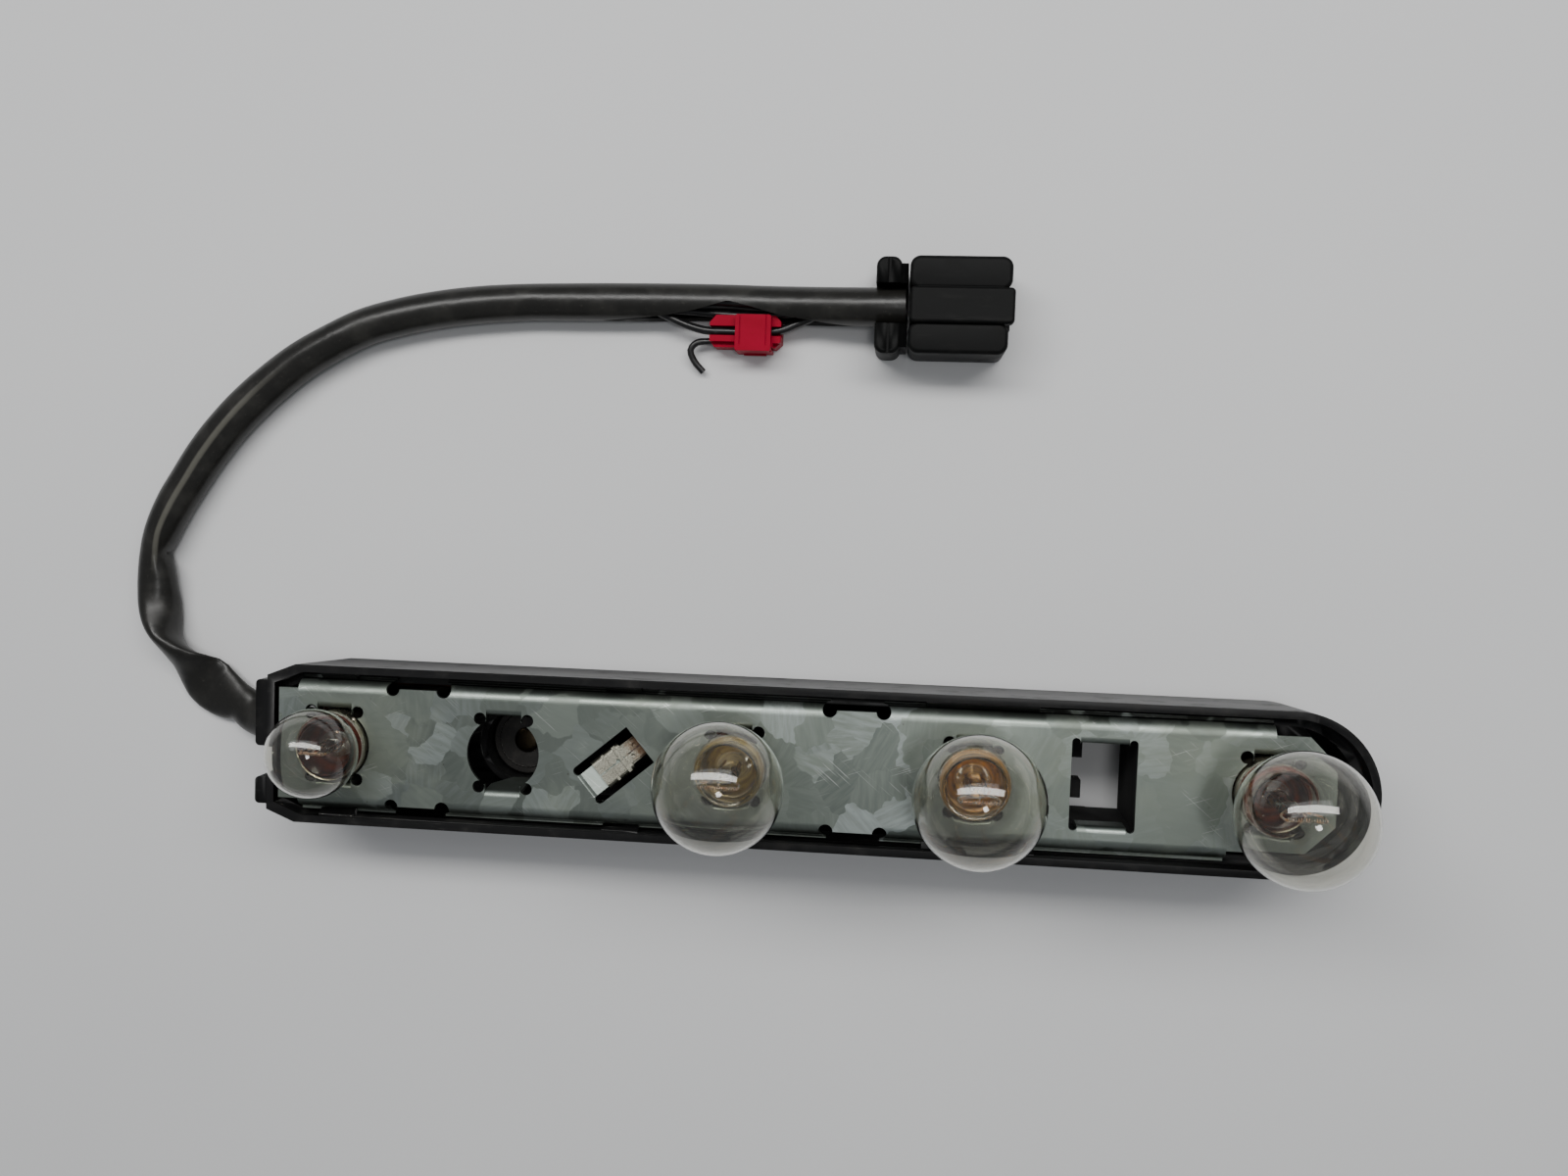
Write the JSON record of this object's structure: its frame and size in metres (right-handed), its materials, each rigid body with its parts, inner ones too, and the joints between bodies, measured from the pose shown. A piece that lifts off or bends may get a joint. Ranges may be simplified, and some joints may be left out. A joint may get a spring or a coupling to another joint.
{
  "type": "rear lamp bulb carrier",
  "caption": "Rear lamp bulb carrier: black tray with a galvanised ground plate, bayonet sockets on sprung contacts, globe bulbs, and a sleeved harness ending in a plug.",
  "frame": {"origin": "on the base plane, under the centre of the tray with its end tabs; the harness is left out of that box", "axes": "+X along the tray towards its rounded end, +Y across it towards the side where the harness lies, +Z out of the plate along the bulbs"},
  "size_m": [0.2718, 0.124, 0.0584],
  "materials": {
    "tray_plastic": "satin black moulding",
    "galvanised_steel": "spangled zinc, greenish grey",
    "tinned_steel": "tinned, freckled",
    "contact_brass": "satin",
    "cap_metal": "nickel-washed brass, dull",
    "spring_steel": "satin",
    "contact_fibre": "matt dark fibre",
    "bulb_glass": "clear, slightly smoked inside",
    "cap_glass": "black glass insulator",
    "filament_wire": "bright wire on a glass stem",
    "wire_brown": "brown insulation",
    "wire_black": "black insulation",
    "sleeve_pvc": "soft grey-black sleeving",
    "splice_red": "crimson moulding",
    "plug_plastic": "matt black moulding"
  },
  "bodies": {
    "carrier": {"tray": "tray_plastic", "ground_plate": "galvanised_steel", "earth_terminal": "tinned_steel", "feed_terminal_1": "contact_brass", "contact_spring_1": "spring_steel", "feed_terminal_2": "contact_brass", "contact_spring_2": "spring_steel", "feed_terminal_3": "contact_brass", "contact_spring_3": "spring_steel", "feed_terminal_4": "contact_brass", "contact_spring_4": "spring_steel", "feed_terminal_5": "contact_brass", "contact_spring_5": "spring_steel", "feed_wire_1": "wire_black", "feed_wire_2": "wire_black", "feed_wire_3": "wire_black", "feed_wire_4": "wire_black", "feed_wire_5": "wire_black", "ground_wire": "wire_brown", "harness_sleeve": "sleeve_pvc", "splice_body": "splice_red", "splice_blade": "tinned_steel", "tapped_wire": "wire_black", "tap_stub_wire": "wire_black", "plug_housing": "plug_plastic", "plug_insert": "plug_plastic", "plug_rear_cap": "plug_plastic"},
    "contact_1": {"contact_disc_1": "contact_fibre", "contact_rivet_1": "contact_brass"},
    "contact_2": {"contact_disc_2": "contact_fibre", "contact_rivet_2": "contact_brass"},
    "contact_3": {"contact_disc_3": "contact_fibre", "contact_rivet_3": "contact_brass"},
    "contact_4": {"contact_disc_4": "contact_fibre", "contact_rivet_4": "contact_brass"},
    "contact_5": {"contact_disc_5": "contact_fibre", "contact_rivet_5": "contact_brass"},
    "bulb_1": {"bulb_glass_1": "bulb_glass", "bulb_cap_1": "cap_metal", "bulb_contact_1": "cap_glass", "bulb_filament_1": "filament_wire"},
    "bulb_3": {"bulb_glass_3": "bulb_glass", "bulb_cap_3": "cap_metal", "bulb_contact_3": "cap_glass", "bulb_filament_3": "filament_wire"},
    "bulb_4": {"bulb_glass_4": "bulb_glass", "bulb_cap_4": "cap_metal", "bulb_contact_4": "cap_glass", "bulb_filament_4": "filament_wire"},
    "bulb_5": {"bulb_glass_5": "bulb_glass", "bulb_cap_5": "cap_metal", "bulb_contact_5": "cap_glass", "bulb_filament_5": "filament_wire"},
    "splice_lid": {"splice_lid": "splice_red"}
  },
  "joints": [
    {"name": "contact_press_1", "type": "slide", "parent": "carrier", "child": "contact_1", "axis": [0, 0, -1], "range_m": [0, 0.002], "stiffness_N_per_m": 1200, "springref_m": -0.002, "deforming": ["contact_spring_1"]},
    {"name": "contact_press_2", "type": "slide", "parent": "carrier", "child": "contact_2", "axis": [0, 0, -1], "range_m": [0, 0.002], "stiffness_N_per_m": 1200, "springref_m": -0.002, "deforming": ["contact_spring_2"]},
    {"name": "contact_press_3", "type": "slide", "parent": "carrier", "child": "contact_3", "axis": [0, 0, -1], "range_m": [0, 0.002], "stiffness_N_per_m": 1200, "springref_m": -0.002, "deforming": ["contact_spring_3"]},
    {"name": "contact_press_4", "type": "slide", "parent": "carrier", "child": "contact_4", "axis": [0, 0, -1], "range_m": [0, 0.002], "stiffness_N_per_m": 1200, "springref_m": -0.002, "deforming": ["contact_spring_4"]},
    {"name": "contact_press_5", "type": "slide", "parent": "carrier", "child": "contact_5", "axis": [0, 0, -1], "range_m": [0, 0.002], "stiffness_N_per_m": 1200, "springref_m": -0.002, "deforming": ["contact_spring_5"]},
    {"name": "bulb_turn_1", "type": "hinge", "parent": "contact_1", "child": "bulb_1", "pos_m": [-0.09885, 0, 0.0143], "axis": [0, 0, 1], "range_deg": [0, 35]},
    {"name": "bulb_turn_3", "type": "hinge", "parent": "contact_3", "child": "bulb_3", "pos_m": [-0.01295, 0, 0.0143], "axis": [0, 0, 1], "range_deg": [0, 35]},
    {"name": "bulb_turn_4", "type": "hinge", "parent": "contact_4", "child": "bulb_4", "pos_m": [0.03645, 0, 0.0143], "axis": [0, 0, 1], "range_deg": [0, 35]},
    {"name": "bulb_turn_5", "type": "hinge", "parent": "contact_5", "child": "bulb_5", "pos_m": [0.09535, 0, 0.0143], "axis": [0, 0, 1], "range_deg": [0, 35]},
    {"name": "splice_lid_hinge", "type": "hinge", "parent": "carrier", "child": "splice_lid", "pos_m": [-0.0138, 0.0874, 0.0008], "axis": [1, 0, 0], "range_deg": [0, 90]}
  ]
}
